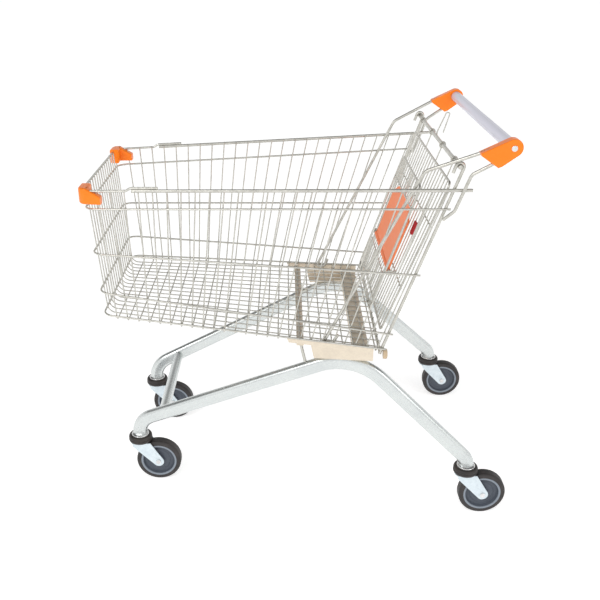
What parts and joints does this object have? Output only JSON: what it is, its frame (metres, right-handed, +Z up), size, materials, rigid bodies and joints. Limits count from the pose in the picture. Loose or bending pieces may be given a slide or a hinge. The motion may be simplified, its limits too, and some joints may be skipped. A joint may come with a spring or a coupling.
{
  "type": "shopping cart",
  "caption": "Wire supermarket trolley on swivel casters with a swing-in rear gate, a folding child seat and a push handle.",
  "frame": {"origin": "centre of the footprint at floor level, under the middle of the overall box", "axes": "+X from the basket's nose towards the push handle, +Y to the driver's right, +Z up"},
  "size_m": [1.0916, 0.6758, 1.02],
  "materials": {
    "zinc_wire": "bright zinc-plated wire",
    "zinc_tube": "zinc-plated oval tube, softly polished",
    "zinc_sheet": "zinc-plated pressed sheet with a warm cast",
    "orange_plastic": "moulded, semi-gloss",
    "seat_plastic": "moulded, satin",
    "grip_plastic": "smooth pale sleeve",
    "belt_red": "matte webbing and clip",
    "bright_steel": "plated fasteners",
    "fork_zinc": "blue zinc passivated pressings",
    "ring_rubber": "matte moulded rubber",
    "tyre": "smooth-tread rubber",
    "wheel_plastic": "moulded grey core",
    "pad_plastic": "tan nylon buffer"
  },
  "bodies": {
    "trolley": {"bag_hook": "zinc_wire", "bumper_rings": "ring_rubber", "caster_stems": "bright_steel", "corner_bumper_left": "orange_plastic", "corner_bumper_right": "orange_plastic", "corner_pads": "pad_plastic", "floor_cross_wires": "zinc_wire", "floor_long_wires": "zinc_wire", "floor_rear_rod": "zinc_wire", "front_cross_bar": "zinc_sheet", "front_cross_tube": "zinc_tube", "front_rim_rod": "zinc_wire", "front_wires": "zinc_wire", "handle_bracket_left": "orange_plastic", "handle_bracket_right": "orange_plastic", "handle_core": "bright_steel", "handle_grip": "grip_plastic", "handle_rivets": "bright_steel", "hinge_bar": "zinc_wire", "hoop_floor": "zinc_wire", "hoop_lower": "zinc_wire", "hoop_middle": "zinc_wire", "hoop_upper": "zinc_wire", "lower_handle_rods": "zinc_wire", "rear_cross_bar": "zinc_sheet", "rear_edge_rods": "zinc_wire", "side_frame_left": "zinc_tube", "side_frame_right": "zinc_tube", "side_rims": "zinc_wire", "side_wires_left": "zinc_wire", "side_wires_right": "zinc_wire", "struts": "zinc_wire", "support_plate_left": "zinc_sheet", "support_plate_right": "zinc_sheet", "upper_handle_rods": "zinc_wire"},
    "caster_front_left": {"fork_front_left": "fork_zinc", "axle_front_left": "bright_steel"},
    "wheel_front_left": {"wheel_core_front_left": "wheel_plastic", "tyre_front_left": "tyre"},
    "caster_front_right": {"fork_front_right": "fork_zinc", "axle_front_right": "bright_steel"},
    "wheel_front_right": {"wheel_core_front_right": "wheel_plastic", "tyre_front_right": "tyre"},
    "caster_rear_left": {"fork_rear_left": "fork_zinc", "axle_rear_left": "bright_steel"},
    "wheel_rear_left": {"wheel_core_rear_left": "wheel_plastic", "tyre_rear_left": "tyre"},
    "caster_rear_right": {"fork_rear_right": "fork_zinc", "axle_rear_right": "bright_steel"},
    "wheel_rear_right": {"wheel_core_rear_right": "wheel_plastic", "tyre_rear_right": "tyre"},
    "gate": {"gate_frame": "zinc_wire", "gate_wires": "zinc_wire", "gate_eyes": "zinc_wire", "seat_back_ears": "zinc_wire", "seat_pin": "zinc_wire", "belt_clip": "belt_red"},
    "seat_back": {"seat_back_frame": "zinc_wire", "seat_back_wires": "zinc_wire"},
    "seat": {"seat_plate": "seat_plastic"}
  },
  "joints": [
    {"name": "swivel_front_left", "type": "hinge", "parent": "trolley", "child": "caster_front_left", "pos_m": [-0.45575, -0.16, 0.12], "axis": [0, 0, 1], "continuous": true},
    {"name": "roll_front_left", "type": "hinge", "parent": "caster_front_left", "child": "wheel_front_left", "pos_m": [-0.40675, -0.16, 0.0625], "axis": [0, 1, 0], "continuous": true},
    {"name": "swivel_front_right", "type": "hinge", "parent": "trolley", "child": "caster_front_right", "pos_m": [-0.45575, 0.16, 0.12], "axis": [0, 0, 1], "continuous": true},
    {"name": "roll_front_right", "type": "hinge", "parent": "caster_front_right", "child": "wheel_front_right", "pos_m": [-0.40675, 0.16, 0.0625], "axis": [0, 1, 0], "continuous": true},
    {"name": "swivel_rear_left", "type": "hinge", "parent": "trolley", "child": "caster_rear_left", "pos_m": [0.43425, -0.305, 0.12], "axis": [0, 0, 1], "continuous": true},
    {"name": "roll_rear_left", "type": "hinge", "parent": "caster_rear_left", "child": "wheel_rear_left", "pos_m": [0.48325, -0.305, 0.0625], "axis": [0, 1, 0], "continuous": true},
    {"name": "swivel_rear_right", "type": "hinge", "parent": "trolley", "child": "caster_rear_right", "pos_m": [0.43425, 0.305, 0.12], "axis": [0, 0, 1], "continuous": true},
    {"name": "roll_rear_right", "type": "hinge", "parent": "caster_rear_right", "child": "wheel_rear_right", "pos_m": [0.48325, 0.305, 0.0625], "axis": [0, 1, 0], "continuous": true},
    {"name": "gate_swing", "type": "hinge", "parent": "trolley", "child": "gate", "pos_m": [0.34125, 0, 0.948], "axis": [0, 1, 0], "range_deg": [0, 70]},
    {"name": "seat_back_fold", "type": "hinge", "parent": "gate", "child": "seat_back", "pos_m": [0.1729, 0, 0.54037], "axis": [0, -1, 0], "range_deg": [0, 50]},
    {"name": "seat_fold", "type": "hinge", "parent": "gate", "child": "seat", "pos_m": [0.2164, 0, 0.63864], "axis": [0, -1, 0], "range_deg": [0, 85]}
  ],
  "couplings": [
    {"joint": "seat_fold", "follows": "seat_back_fold", "ratio": 1.7}
  ]
}
